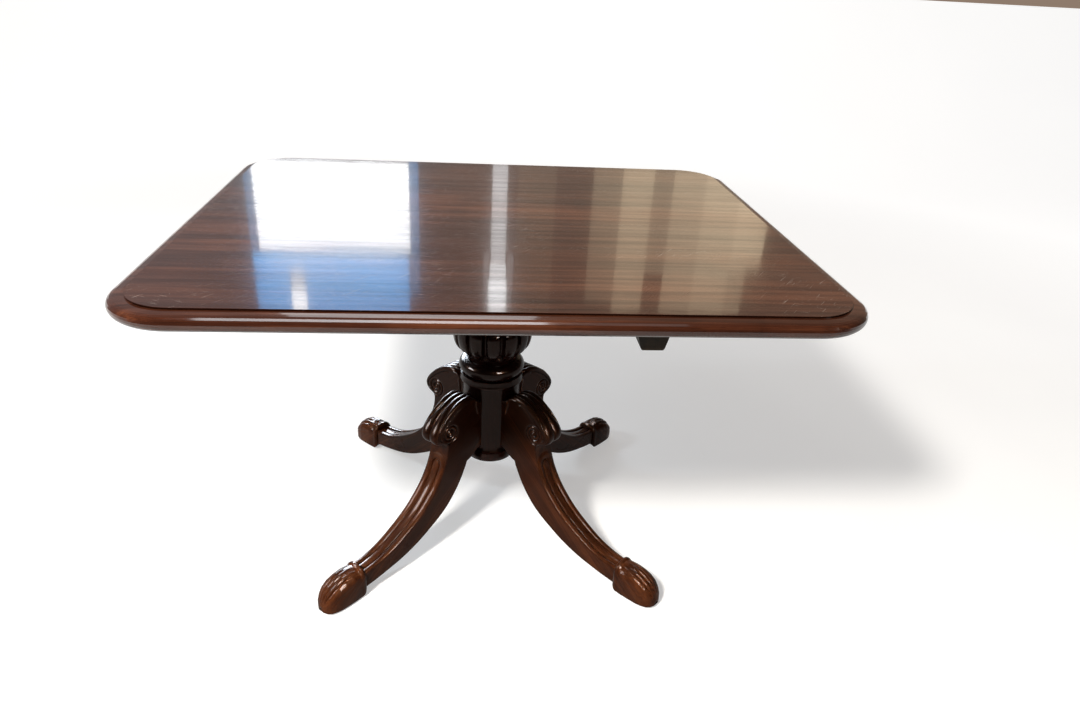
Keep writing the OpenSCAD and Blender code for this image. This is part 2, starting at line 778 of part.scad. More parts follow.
swivel_r = 3.6;
axle_r = 2.2;
cheek_t = 2.4;
cheek_gap = 0.3;
cheek_y = wheel_w / 2 + cheek_gap;
axle_gap = 0.02;
eye_r = 4.6;
fork_front = 7;
fork_back = 8;
fork_top = recess_top - plate_t - seat_gap;

module at_castor(a) {
  rotate([0, 0, a]) translate([castor_at, 0, 0]) children();
}

module castor_plate() {
  color(brass) difference() {
    translate([0, 0, recess_top - plate_t])
      cylinder(h = plate_t, r = recess_r - glue_gap, $fn = turn_fn);
    translate([0, 0, recess_top - plate_t - over])
      cylinder(h = plate_t + 2 * over, r = swivel_r + run_gap, $fn = round_fn);
    castor_screw_holes(recess_top - plate_t - over, plate_t + 2 * over, run_gap);
  }
}

module castor_screw_holes(z, l, extra) {
  for (a = castor_screw_at) rotate([0, 0, a]) translate([castor_screw_out, 0, z])
    cylinder(h = l, r = castor_screw_r + extra, $fn = screw_fn);
}

module fork_cheek() {
  linear_extrude(cheek_t) union() {
    translate([-trail, wheel_r]) circle(r = eye_r, $fn = round_fn);
    polygon([[-trail - eye_r, wheel_r], [-trail + eye_r, wheel_r], [fork_front, fork_top - 3],
      [fork_front, fork_top - 1], [-fork_back, fork_top - 1], [-fork_back, fork_top - 3]]);
  }
}

module castor_fork() {
  color(brass) difference() {
    union() {
      translate([0, 0, fork_top - 4]) cylinder(h = 4, r = 8, $fn = round_fn);
      translate([0, 0, fork_top - 2])
        cylinder(h = rivet_z - fork_top + 2 + glue_gap, r = swivel_r, $fn = round_fn);
      translate([0, 0, rivet_z]) cylinder(h = rivet_h, r = rivet_r, $fn = round_fn);
      for (s = [-1, 1]) translate([0, s * (cheek_y + cheek_t / 2) + cheek_t / 2, 0])
        rotate([90, 0, 0]) fork_cheek();
      translate([-fork_back, -cheek_y - cheek_t, fork_top - 4])
        cube([fork_back + fork_front, 2 * (cheek_y + cheek_t), 3]);
    }
    translate([-trail, cheek_y + cheek_t + over, wheel_r]) rotate([90, 0, 0])
      cylinder(h = 2 * (cheek_y + cheek_t + over), r = axle_r + axle_gap, $fn = round_fn);
  }
}

module castor_axle() {
  color(iron) translate([-trail, cheek_y + cheek_t, wheel_r]) rotate([90, 0, 0])
    cylinder(h = 2 * (cheek_y + cheek_t), r = axle_r, $fn = round_fn);
}

module castor_wheel() {
  w = wheel_w / 2;
  dish = 0.8;
  color(brass) translate([-trail, 0, wheel_r]) rotate([90, 0, 0])
    rotate_extrude($fn = turn_fn) polygon([[axle_r + run_gap, -w], [5, -w], [5.5, -w + dish],
      [wheel_r - 3, -w + dish], [wheel_r - 2.5, -w], [wheel_r - 1, -w], [wheel_r, -w + 1],
      [wheel_r, w - 1], [wheel_r - 1, w], [wheel_r - 2.5, w], [wheel_r - 3, w - dish],
      [5.5, w - dish], [5, w], [axle_r + run_gap, w]]);
}

module castor_screws() {
  color(brass) for (q = [az_fl, az_fr, az_bl, az_br]) at_castor(q)
    for (a = castor_screw_at) rotate([0, 0, a]) translate([castor_screw_out, 0, recess_top - plate_t])
      wood_screw(castor_screw_l, castor_screw_r, 2.6, 0.8);
}

module castor_plate_front_left() {
  at_castor(az_fl) castor_plate();
}

module castor_plate_front_right() {
  at_castor(az_fr) castor_plate();
}

module castor_plate_back_left() {
  at_castor(az_bl) castor_plate();
}

module castor_plate_back_right() {
  at_castor(az_br) castor_plate();
}

module castor_fork_front_left() {
  at_castor(az_fl) castor_fork();
}

module castor_fork_front_right() {
  at_castor(az_fr) castor_fork();
}

module castor_fork_back_left() {
  at_castor(az_bl) castor_fork();
}

module castor_fork_back_right() {
  at_castor(az_br) castor_fork();
}

module castor_axle_front_left() {
  at_castor(az_fl) castor_axle();
}

module castor_axle_front_right() {
  at_castor(az_fr) castor_axle();
}

module castor_axle_back_left() {
  at_castor(az_bl) castor_axle();
}

module castor_axle_back_right() {
  at_castor(az_br) castor_axle();
}

module castor_wheel_front_left() {
  at_castor(az_fl) castor_wheel();
}

module castor_wheel_front_right() {
  at_castor(az_fr) castor_wheel();
}

module castor_wheel_back_left() {
  at_castor(az_bl) castor_wheel();
}

module castor_wheel_back_right() {
  at_castor(az_br) castor_wheel();
}

top_board_front();
top_board_middle();
top_board_back();
bearer_left();
bearer_right();
bearer_screws();
catch_case();
catch_screws();
catch_bolt();
catch_knob();
tilt_block();
pivot_pin_left();
pivot_pin_right();
strike_plate();
strike_screws();
column();
collar();
leg_block();
base_drop();
leg_front_left();
leg_front_right();
leg_back_left();
leg_back_right();
foot_front_left();
foot_front_right();
foot_back_left();
foot_back_right();
castor_plate_front_left();
castor_plate_front_right();
castor_plate_back_left();
castor_plate_back_right();
castor_screws();
castor_fork_front_left();
castor_fork_front_right();
castor_fork_back_left();
castor_fork_back_right();
castor_axle_front_left();
castor_axle_front_right();
castor_axle_back_left();
castor_axle_back_right();
castor_wheel_front_left();
castor_wheel_front_right();
castor_wheel_back_left();
castor_wheel_back_right();
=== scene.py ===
import json
import math

import bpy
import numpy as np
from mathutils import Matrix, Vector
from mathutils.geometry import delaunay_2d_cdt

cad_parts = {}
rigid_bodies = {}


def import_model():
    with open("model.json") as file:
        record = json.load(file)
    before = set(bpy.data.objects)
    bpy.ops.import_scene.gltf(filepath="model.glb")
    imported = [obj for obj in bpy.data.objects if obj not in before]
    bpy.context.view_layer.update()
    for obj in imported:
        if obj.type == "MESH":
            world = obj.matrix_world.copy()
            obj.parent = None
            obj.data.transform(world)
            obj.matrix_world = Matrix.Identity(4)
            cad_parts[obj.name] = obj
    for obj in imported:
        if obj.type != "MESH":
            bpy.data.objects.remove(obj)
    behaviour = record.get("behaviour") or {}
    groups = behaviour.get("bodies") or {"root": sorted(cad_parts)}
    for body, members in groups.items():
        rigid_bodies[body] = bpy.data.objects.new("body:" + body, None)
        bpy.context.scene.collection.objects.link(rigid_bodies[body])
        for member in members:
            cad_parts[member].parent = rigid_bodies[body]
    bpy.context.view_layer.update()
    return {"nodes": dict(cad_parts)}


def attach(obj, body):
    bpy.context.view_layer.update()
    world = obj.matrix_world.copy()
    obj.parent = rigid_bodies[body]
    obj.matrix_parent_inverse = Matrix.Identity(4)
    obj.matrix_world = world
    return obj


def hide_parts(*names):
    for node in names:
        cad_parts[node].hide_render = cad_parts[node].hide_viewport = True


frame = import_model()
MM = 0.001

# Azimuth of each leg, in degrees
LEG_AT = {"front_left": 225, "front_right": 315, "back_left": 135, "back_right": 45}


# Curves

def spline(points, n):
    """A smooth line through the points, with n steps between each pair."""
    p = np.array(points, float)
    p = np.vstack([p[:1], p, p[-1:]])
    out = []
    for i in range(1, len(p) - 2):
        a, b, c, d = p[i - 1:i + 3]
        for k in range(n):
            t = k / n
            out.append(0.5 * (2 * b + (c - a) * t + (2 * a - 5 * b + 4 * c - d) * t ** 2
                              + (3 * b - a - 3 * c + d) * t ** 3))
    out.append(p[-2])
    return np.array(out)


def evenly(line, step):
    """The line again, with points about one step apart."""
    line = np.array(line, float)
    run = np.concatenate([[0], np.cumsum(np.linalg.norm(np.diff(line, axis=0), axis=1))])
    at = np.linspace(0, run[-1], max(2, int(round(run[-1] / step)) + 1))
    return np.stack([np.interp(at, run, line[:, k]) for k in range(line.shape[1])], axis=1)


def ease(x):
    """From 0 to 1 with no corner at either end."""
    x = np.clip(x, 0, 1)
    return x * x * (3 - 2 * x)


def unit(vectors):
    """The same directions, each of length 1."""
    return vectors / np.linalg.norm(vectors, axis=1)[:, None]


def nearest(points, line):
    """How far each point lies from the nearest point of the line."""
    gap = points[:, None] - line[None]
    return np.min(np.hypot(gap[..., 0], gap[..., 1]), axis=1)


# Mesh helpers

def new_piece(name, verts, faces, material, sharp=40):
    """A mesh object in metres, from points in millimetres, with its curvature stored for wear on its edges
    and painted shade in its hollows.
    """
    mesh = bpy.data.meshes.new(name)
    mesh.from_pydata([tuple(v) for v in np.array(verts) * MM], [], [tuple(f) for f in faces])
    mesh.validate()
    mesh.polygons.foreach_set("use_smooth", [True] * len(mesh.polygons))
    mesh.set_sharp_from_angle(angle=math.radians(sharp))
    mesh.materials.append(material)
    store_wear_and_shade(mesh)
    obj = bpy.data.objects.new(name, mesh)
    bpy.context.scene.collection.objects.link(obj)
    return obj


def store_wear_and_shade(mesh):
    """Stores how far each point stands proud of its neighbours: above 0 on edges, for wear, and below 0 in
    hollows, for painted shade.
    """
    n = len(mesh.vertices)
    co = np.zeros(n * 3, np.float32)
    mesh.vertices.foreach_get("co", co)
    co = co.reshape(-1, 3)
    normal = np.zeros(n * 3, np.float32)
    mesh.vertices.foreach_get("normal", normal)
    normal = normal.reshape(-1, 3)
    edge = np.zeros(len(mesh.edges) * 2, np.int32)
    mesh.edges.foreach_get("vertices", edge)
    edge = edge.reshape(-1, 2)
    length = np.linalg.norm(co[edge[:, 0]] - co[edge[:, 1]], axis=1) + 1e-6
    bend = np.zeros(n)
    weight = np.zeros(n)
    for a, b in ((0, 1), (1, 0)):
        out = ((co[edge[:, a]] - co[edge[:, b]]) * normal[edge[:, a]]).sum(1) / length
        np.add.at(bend, edge[:, a], out)
        np.add.at(weight, edge[:, a], 1)
    bend = bend / np.maximum(weight, 1)
    for _ in range(2):
        near = np.zeros(n)
        for a, b in ((0, 1), (1, 0)):
            np.add.at(near, edge[:, a], bend[edge[:, b]])
        bend = 0.5 * bend + 0.5 * near / np.maximum(weight, 1)
    layer = mesh.attributes.new("worn", "FLOAT", "POINT")
    layer.data.foreach_set("value", bend.astype(np.float32))


def grid_faces(rows, cols, close_rows=False, close_cols=False):
    """The quads of a grid of points, stored row by row."""
    faces = []
    for i in range(rows if close_rows else rows - 1):
        i2 = (i + 1) % rows
        for j in range(cols if close_cols else cols - 1):
            j2 = (j + 1) % cols
            faces.append((i * cols + j, i * cols + j2, i2 * cols + j2, i2 * cols + j))
    return faces


def turned(name, profile, material, around=144, shape=None, sharp=40):
    """A turned piece from its profile of (radius, height), lowest point first. shape changes the radius."""
    profile = np.array(profile, float)
    angle = np.linspace(0, 2 * math.pi, around, endpoint=False)
    r = np.repeat(profile[:, :1], around, axis=1)
    z = np.repeat(profile[:, 1:], around, axis=1)
    if shape is not None:
        r = shape(r, z, angle[None, :])
    verts = np.stack([r * np.cos(angle), r * np.sin(angle), z], axis=2).reshape(-1, 3)
    faces = grid_faces(len(profile), around, close_cols=True)
    n = len(verts)
    verts = np.vstack([verts, [[0, 0, profile[0, 1]], [0, 0, profile[-1, 1]]]])
    last = (len(profile) - 1) * around
    for j in range(around):
        k = (j + 1) % around
        faces.append((n, k, j))
        faces.append((n + 1, last + j, last + k))
    return new_piece(name, verts, faces, material, sharp)


# Node helpers for the materials and the room's light

def rgb(colour, factor=1.0):
    """The colour with its alpha, darker or lighter by the factor."""
    return (*[c * factor for c in colour], 1.0)


class Tree:
    """Builds the nodes of a new material or world, one call for each."""

    def __init__(self, owner):
        owner.use_nodes = True
        self.owner = owner
        self.nodes, self.links = owner.node_tree.nodes, owner.node_tree.links
        self.shader = self.nodes.get("Principled BSDF") or self.nodes["Background"]

    def add(self, kind, inputs=None, **settings):
        node = self.nodes.new(kind)
        for key, value in settings.items():
            setattr(node, key, value)
        for key, value in (inputs or {}).items():
            self.put(node.inputs[key], value)
        return node

    def put(self, socket, value):
        if isinstance(value, bpy.types.NodeSocket):
            self.links.new(value, socket)
        else:
            socket.default_value = value

    def set(self, name, value):
        """Sets a socket of the shader itself, to a number, a colour or another node's output."""
        self.put(self.shader.inputs[name], value)

    def place(self, scale, turn=(0, 0, 0), move=(0, 0, 0)):
        coords = self.add("ShaderNodeTexCoord").outputs["Object"]
        spun = self.add("ShaderNodeMapping", {"Vector": coords, "Rotation": turn, "Location": move})
        return self.add("ShaderNodeMapping", {"Vector": spun.outputs[0], "Scale": scale}).outputs[0]

    def noise(self, scale, detail, rough=0.5, twist=0.0, turn=(0, 0, 0), move=(0, 0, 0)):
        node = self.add("ShaderNodeTexNoise", {"Vector": self.place(scale, turn, move), "Scale": 1.0,
                                               "Detail": detail, "Roughness": rough, "Distortion": twist})
        return node.outputs["Fac"]

    def ramp(self, value, stops, curve="LINEAR"):
        node = self.add("ShaderNodeValToRGB", {"Fac": value})
        node.color_ramp.interpolation = curve
        band = node.color_ramp.elements
        while len(band) < len(stops):
            band.new(0.5)
        for element, (at, colour) in zip(band, stops):
            element.position = at
            element.color = rgb(colour)
        return node.outputs["Color"]

    def span(self, value, lo, hi, to_lo=0.0, to_hi=1.0):
        node = self.add("ShaderNodeMapRange", {"Value": value, "From Min": lo, "From Max": hi,
                                               "To Min": to_lo, "To Max": to_hi})
        node.clamp = True
        return node.outputs[0]

    def maths(self, kind, *values):
        return self.add("ShaderNodeMath", dict(enumerate(values)), operation=kind).outputs[0]

    def times(self, a, b):
        return self.maths("MULTIPLY", a, b)

    def more(self, total, value, factor):
        """The total plus the value times the factor."""
        return self.maths("MULTIPLY_ADD", value, factor, total)

    def blend(self, fac, a, b):
        """From colour a to colour b. Sockets 6 and 7 and output 2 of the Mix node are those for colours."""
        return self.add("ShaderNodeMix", {0: fac, 6: a, 7: b}, data_type="RGBA").outputs[2]

    # Curvature from the mesh: edges for wear, hollows for painted shade
    def worn(self, lo, hi):
        node = self.add("ShaderNodeAttribute", attribute_name="worn")
        return self.span(node.outputs["Fac"], lo, hi)

    def bump(self, height, strength, distance, normal=None):
        inputs = {"Height": height, "Strength": strength, "Distance": distance}
        if normal is not None:
            inputs["Normal"] = normal
        return self.add("ShaderNodeBump", inputs).outputs[0]


# Heights in metres between which one face of a top board gives way to the next
FIELD = (0.7296, 0.7299)
RISER_FOOT, RISER_HEAD = (0.72655, 0.72675), (0.7298, 0.7292)
UNDERSIDE = (0.7016, 0.7200)
WHITE, AMBER, DUST = (1.0, 1.0, 1.0), (1.0, 0.52, 0.30), (0.62, 0.56, 0.50)


def wood(name, tones, turn, seed, gloss, coat, wear, shine=0.15, tint=WHITE, figure=1.0, board=False):
    """Polished mahogany, from its dark, middle and light tone. The grain runs along X after the turn.

    A board of the top has dust, scratches, a riser above painted dark as the step's shade, and is bare wood
    underneath.
    """
    t = Tree(bpy.data.materials.new(name))
    dark, mid, light = tones
    move = (seed * 1.7, seed * 2.3, seed * 0.9)

    def grain(scale, detail, rough=0.5, twist=0.0):
        return t.noise(scale, detail, rough, twist, turn, move)

    def patches(scale, detail, rough=0.5, azimuth=0.0):
        return t.noise(scale, detail, rough, 0.0, (0, 0, azimuth), move)

    broad = grain((1.1, 7.0, 7.0), 3.0, 0.55, 0.6)
    streak = grain((2.2, 60.0, 60.0), 5.0, 0.6, 0.25)
    fine = grain((7.0, 420.0, 420.0), 3.0, 0.65)
    ribbon = grain((9.0, 5.0, 5.0), 2.0, 0.5, 1.2)
    tone = t.more(t.times(broad, 0.55), streak, 0.55 * figure)
    tone = t.more(tone, fine, 0.22)
    tone = t.more(tone, ribbon, 0.14 * figure)
    colour = t.ramp(t.span(tone, 0.53, 0.94), [(0.0, dark), (0.48, mid), (1.0, light)])

    pore = t.span(grain((38.0, 900.0, 900.0), 2.0), 0.60, 0.72)
    colour = t.blend(t.times(pore, 0.55), colour, rgb(dark, 0.35))
    # Painted shade: the hollows of the carving are darkened where shade would fall in them, and are also made
    # rougher
    shaded_hollow = t.worn(-0.015, -0.16)
    colour = t.blend(t.times(shaded_hollow, 0.85), colour, rgb(dark, 0.22))
    edge = t.times(t.worn(0.05, 0.26), t.span(patches((22.0, 22.0, 22.0), 4.0, 0.6), 0.35, 0.65))
    colour = t.blend(t.times(edge, wear), colour, rgb(light, 1.7))
    smear = patches((3.0, 5.0, 5.0), 5.0, 0.6, 0.4)
    dull = t.more(t.span(smear, 0.3, 0.75, gloss, gloss + 0.1), pore, 0.12)

    if board:
        scratches = t.maths("MAXIMUM", t.span(patches((28.0, 700.0, 700.0), 1.0, 0.5, 0.35), 0.70, 0.76),
                            t.span(patches((22.0, 620.0, 620.0), 1.0, 0.5, -0.9), 0.70, 0.76))
        dust = t.span(patches((330.0, 330.0, 330.0), 1.0), 0.72, 0.78)
        level = t.add("ShaderNodeSeparateXYZ", {"Vector": t.place((1.0, 1.0, 1.0))}).outputs[2]
        where = t.times(t.span(patches((4.0, 6.0, 4.0), 2.0), 0.50, 0.68), t.span(level, *FIELD))
        specks = t.times(t.maths("MAXIMUM", dust, scratches), t.times(where, 0.3))
        colour = t.blend(specks, colour, rgb(DUST))
        # Painted shade: the riser of the step around the field is darkened almost to black and loses most of
        # its coat, standing in for the step's shadow
        riser_shade = t.times(t.span(level, *RISER_FOOT), t.span(level, *RISER_HEAD))
        colour = t.blend(t.times(riser_shade, 0.85), colour, rgb(dark, 0.2))
        dull = t.more(dull, scratches, 0.10)
        clear = t.times(t.span(streak, 0.38, 0.62, coat * 0.72, coat), t.more(1.0, riser_shade, -0.95))
        coat = t.times(clear, t.span(level, *UNDERSIDE, 0.04, 1.0))

    t.set("Base Color", colour)
    t.set("Roughness", t.more(dull, shaded_hollow, 0.25))
    t.set("IOR", 1.5)
    t.set("Specular IOR Level", shine)
    t.set("Specular Tint", rgb(tint))
    t.set("Coat Weight", coat)
    t.set("Coat Roughness", t.span(smear, 0.3, 0.8, 0.03, 0.12))
    low = grain((14.0, 26.0, 26.0), 2.0)
    height = t.more(t.times(fine, 0.35), pore, -0.6)
    t.set("Normal", t.bump(height, 0.16, 0.00025, t.bump(low, 0.05, 0.0008)))
    t.set("Coat Normal", t.bump(low, 0.12 if board else 0.05, 0.0006))
    return t.owner


TARNISH = 0.5


def metal(name, bright, dark, rough, seed):
    """Old brass or steel, dull where it has tarnished."""
    t = Tree(bpy.data.materials.new(name))
    move = (seed, seed * 1.4, seed * 0.6)
    patch = t.noise((35.0, 35.0, 35.0), 5.0, 0.6, 0.4, move=move)
    speck = t.noise((260.0, 260.0, 260.0), 3.0, 0.55, move=move)
    brush = t.noise((30.0, 700.0, 700.0), 2.0, turn=(0, 0, 0.2), move=move)
    stain = t.times(t.span(patch, 0.42, 0.66), TARNISH)
    colour = t.blend(stain, rgb(bright), rgb(dark))
    t.set("Base Color", t.blend(t.span(speck, 0.58, 0.72, 0.0, 0.5), colour, rgb(dark, 0.4)))
    t.set("Metallic", 1.0)
    t.set("Roughness", t.more(t.span(speck, 0.3, 0.7, rough, rough + 0.14), stain, 0.25))
    t.set("Normal", t.bump(brush, 0.12, 0.0002, t.bump(speck, 0.2, 0.0003)))
    return t.owner


TOP_TONES = ((0.011, 0.0030, 0.0016), (0.041, 0.0115, 0.0054), (0.118, 0.037, 0.016))
PILLAR_TONES = ((0.0055, 0.0017, 0.0014), (0.015, 0.0042, 0.0030), (0.036, 0.010, 0.0065))
LEG_TONES = ((0.026, 0.0070, 0.0027), (0.100, 0.0290, 0.0098), (0.240, 0.076, 0.0260))
BEARER_TONES = ((0.006, 0.0045, 0.0030), (0.016, 0.011, 0.0065), (0.034, 0.022, 0.012))
BLOCK_TONES = ((0.008, 0.005, 0.0035), (0.022, 0.012, 0.0070), (0.045, 0.023, 0.012))
# Each board of the top has its own slight turn, seed and strength of figure
TOP_BOARDS = {"front": (0, 1.0, 1.0), "middle": (0.01, 4.2, 1.1), "back": (-0.008, 7.7, 0.9)}
LEG_GRAIN = -0.72

top_woods = {"top_board_" + which: wood("mahogany_top_" + which, TOP_TONES, (0, 0, azimuth), seed, gloss=0.16,
                                        coat=1.0, wear=0.3, figure=figure, board=True)
             for which, (azimuth, seed, figure) in TOP_BOARDS.items()}
pillar_wood = wood("mahogany_pillar", PILLAR_TONES, (0, math.pi / 2, 0), 2.0, gloss=0.20, coat=0.11,
                   wear=0.35, shine=0.04, tint=AMBER)
leg_wood = wood("mahogany_leg", LEG_TONES, (0, LEG_GRAIN, 0), 3.0, gloss=0.25, coat=0.05, wear=0.5,
                shine=0.035, tint=AMBER, figure=0.6)
bearer_wood = wood("bearer_wood", BEARER_TONES, (0, 0, math.pi / 2), 5.0, gloss=0.45, coat=0.04, wear=0.3,
                   shine=0.12)
block_wood = wood("block_wood", BLOCK_TONES, (0, 0, 0), 6.0, gloss=0.45, coat=0.04, wear=0.3, shine=0.12)
brass = metal("brass", (0.62, 0.42, 0.16), (0.16, 0.095, 0.035), 0.28, 1.0)
steel = metal("steel", (0.32, 0.31, 0.30), (0.07, 0.055, 0.045), 0.36, 2.0)


# Material of each CAD node that stays as it is

def finish_of(node):
    if node in top_woods:
        return top_woods[node], "mahogany_top"
    if node.startswith("bearer_screws"):
        return steel, "steel"
    if node.startswith("bearer"):
        return bearer_wood, "bearer_wood"
    if node == "tilt_block":
        return block_wood, "bearer_wood"
    if node.startswith(("pivot_pin", "castor_axle", "castor_screws")):
        return steel, "steel"
    if node.startswith(("catch", "strike", "castor")):
        return brass, "brass"
    if node.startswith(("leg_front", "leg_back", "foot")):
        return leg_wood, "mahogany_leg"
    return pillar_wood, "mahogany_pillar"


for node, obj in frame["nodes"].items():
    material, slot_name = finish_of(node)
    obj.data.materials.clear()
    obj.data.materials.append(material)


# Pillar with its fluted bowl

FLUTES, FLUTE_W, FLUTE_D = 14, 13.0, 9.0
LOBE_ROUND = 2.6
NECK_Z, BOWL_TOP = 428.0, 520.0
FLUTE_FROM, FLUTE_TO = NECK_Z + 5, BOWL_TOP - 8
BOWL = [[56, 428], [61, 431.5], [69, 439], [79, 448.5], [85, 462], [88, 484], [85, 500], [76, 512], [65, 520]]
column_profile = np.vstack([
    [[40, 417.5], [54.6, 417.9], [55, 419], [55, 427.2]],
    evenly(spline(BOWL, 6), 1.6),
    [[60, 522], [58.2, 523.5], [58, 528]],
    spline([[62, 531], [64, 536], [62, 541]], 5),
    evenly(spline([[52, 545], [47, 556], [44, 576], [45, 600], [51, 622], [60, 636]], 5), 3),
    spline([[68, 638], [71, 643], [68, 648]], 5),
    spline([[74, 651], [82, 656], [84, 664.3]], 5),
])


def fluted(r, z, angle):
    """Cuts the hollow flutes into the bowl and rounds the lobes between them."""
    pitch = 2 * math.pi / FLUTES
    off = (angle + math.pi / 2) % pitch - 0.5 * pitch
    across = off * r
    lo, hi = FLUTE_FROM + FLUTE_W / 2, FLUTE_TO - FLUTE_W / 2
    along = np.where(z < lo, lo - z, np.where(z > hi, z - hi, 0))
    far = np.hypot(across, along) / (FLUTE_W / 2)
    scoop = np.sqrt(np.clip(1 - far ** 2, 0, 1)) ** 0.8
    band = ease((z - NECK_Z - 2) / 12) * ease((BOWL_TOP - 1 - z) / 12)
    lobe = np.abs(np.abs(off) - pitch / 2) / (pitch / 2)
    round_off = LOBE_ROUND * np.clip(lobe, 0, 1) ** 2.6
    return r - band * (round_off + FLUTE_D * scoop)


column = turned("turned_pillar", column_profile, pillar_wood, around=FLUTES * 30, shape=fluted, sharp=55)
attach(column, "stand")
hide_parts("column")


# Collar, with its drum and the small fillet at its foot

arc = np.radians(np.linspace(-90, 90, 25))
collar_profile = np.vstack([
    [[40, 364.05], [69, 364.05], [69.8, 365.5], [69.8, 369], [69, 370.5], [69, 381.2], [56, 382]],
    np.stack([54.5 + 18 * np.cos(arc), 400 + 18 * np.sin(arc)], axis=1),
    [[45, 417.9]],
])
collar = turned("rounded_collar", collar_profile, pillar_wood)
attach(collar, "stand")
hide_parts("collar")

# Turned drop under the leg block

drop_profile = np.vstack([
    [[20, 169.1], [50, 169.1]],
    spline([[54, 171], [56, 180.5], [54, 190]], 8),
    [[49, 192]],
    spline([[47, 197], [47, 203], [53, 210.5]], 6),
    [[53, 211.9], [30, 211.9]],
])
drop = turned("turned_drop", drop_profile, pillar_wood)
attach(drop, "stand")
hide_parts("base_drop")


# Scrolled and reeded leg, in its own plane

ANKLE_AT, KNEE_OUT, KNEE_HALF, ANKLE_HALF = 391.0, 180.0, 27.0, 22.0
KNEE = [[50, 333], [63, 335], [71, 340.5], [79, 347.5], [92, 352], [110, 352], [128, 346.5], [146, 335.5],
        [161, 324.5], [173, 314], [181.5, 304.5], [187, 296], [188.5, 289], [187, 282], [183, 276.5],
        [176.5, 272], [168.5, 269], [162.5, 266], [160, 260]]
SHIN = [[160, 260], [160.5, 249], [162.8, 237], [167, 222], [174.5, 201], [185.5, 180.5], [199, 161],
        [218, 140], [244, 117], [279, 94], [318, 73.5], [355, 61.5], [ANKLE_AT, 56]]
BACK = [[50, 217], [66, 217], [82, 206], [93, 199.5], [101, 197], [104, 189], [112, 173], [124, 152],
        [141, 129], [164, 105], [188, 87.5], [213, 72.5], [236, 59.8], [260, 48.8], [284, 40], [308, 33.2],
        [332, 28], [360, 22.5], [ANKLE_AT, 18]]
EDGE_R = 2.5
REED_H = 4.5
PANEL_HEAD_Z, PANEL_HEAD, PANEL_FOOT = 211.0, 10.0, 9.0
GROOVE_W, GROOVE_D = 3.2, 3.0
VOLUTE_C = np.array([152.5, 289.5])
# Rows of points across half the leg: those at the edge and how far in they lie, and those beside the groove
HALF_ROWS, EDGE_ROWS, EDGE_IN = 41, [34, 38, 39, 40], np.array([2.4, 0.7, 0.2, 0.0])
GROOVE_ROWS, GROOVE_GAP = [13, 23], 0.3
# The sides of the leg have fine points around the volute, and coarse ones elsewhere
CARVED_X, CARVED_Z = (62, 192), (250, 350)
FINE, COARSE, RIM_GAP = 1.15, 5, 0.9


def half_width(r):
    return np.interp(r, [KNEE_OUT, ANKLE_AT], [KNEE_HALF, ANKLE_HALF])


def panel_half(z):
    """Half the width of the narrow panel on the shin."""
    return np.interp(z, [SHIN[-1][1], PANEL_HEAD_Z], [PANEL_FOOT, PANEL_HEAD])


def leg_rows(w, panel, half):
    """How far each row lies from the middle. The rows bunch at the panel's groove where panel is 1."""
    k = np.arange(HALF_ROWS)
    edge = list(w - EDGE_IN)
    side = GROOVE_W / 2 + GROOVE_GAP
    plain = np.interp(k, [0] + EDGE_ROWS, [0] + edge)
    bunched = np.interp(k, [0] + GROOVE_ROWS + EDGE_ROWS, [0, half - side, half + side] + edge)
    row = plain * (1 - panel) + bunched * panel
    return np.concatenate([-row[:0:-1], row])


def reed_height(y, w, t):
    """Height of the reeds over the knee, at y across and t along. The middle two widen towards the scroll."""
    if not 0 < t < 1:
        return np.zeros_like(y)
    half = (w - 0.4) * math.sqrt(1 - (1 - min(t / 0.16, 1)) ** 2)
    rise = REED_H * (min(1, t / 0.07) ** 0.5) * min(1, 0.1 + 0.9 * (1 - t) / 0.12)
    split = half * (0.5 + 0.40 * float(ease((t - 0.30) / 0.40)))
    far = np.abs(y)
    inner = np.abs(np.sin(math.pi * far / split))
    outer = np.abs(np.sin(math.pi * (far - split) / (half - split + 1e-6)))
    inner_rise = rise * min(1.12, (split / 13.3) ** 0.5)
    outer_rise = rise * min(1, (half - split) / 9)
    reeds = np.where(far < half, outer_rise * outer ** 0.62, 0)
    return np.where(far < split, inner_rise * inner ** 0.58, reeds)


def panel_height(y, s, w, half):
    """A convex panel in a groove between two rounded borders. s runs down from the middle of its head."""
    d = np.abs(y) - half if s > 0 else np.hypot(y, s) - half
    side = GROOVE_W / 2
    border = 2.2 * np.sin(math.pi * np.clip((d - side) / (w - half - side), 0, 1) ** 0.8)
    groove = -GROOVE_D * np.clip(1 - (np.abs(d) / side) ** 2.2, 0, 1)
    panel = 1.3 * np.clip(1 - ((d + half) / (half - side)) ** 2, 0, 1)
    return np.where(d > side, border, np.where(d > -side, groove, panel))


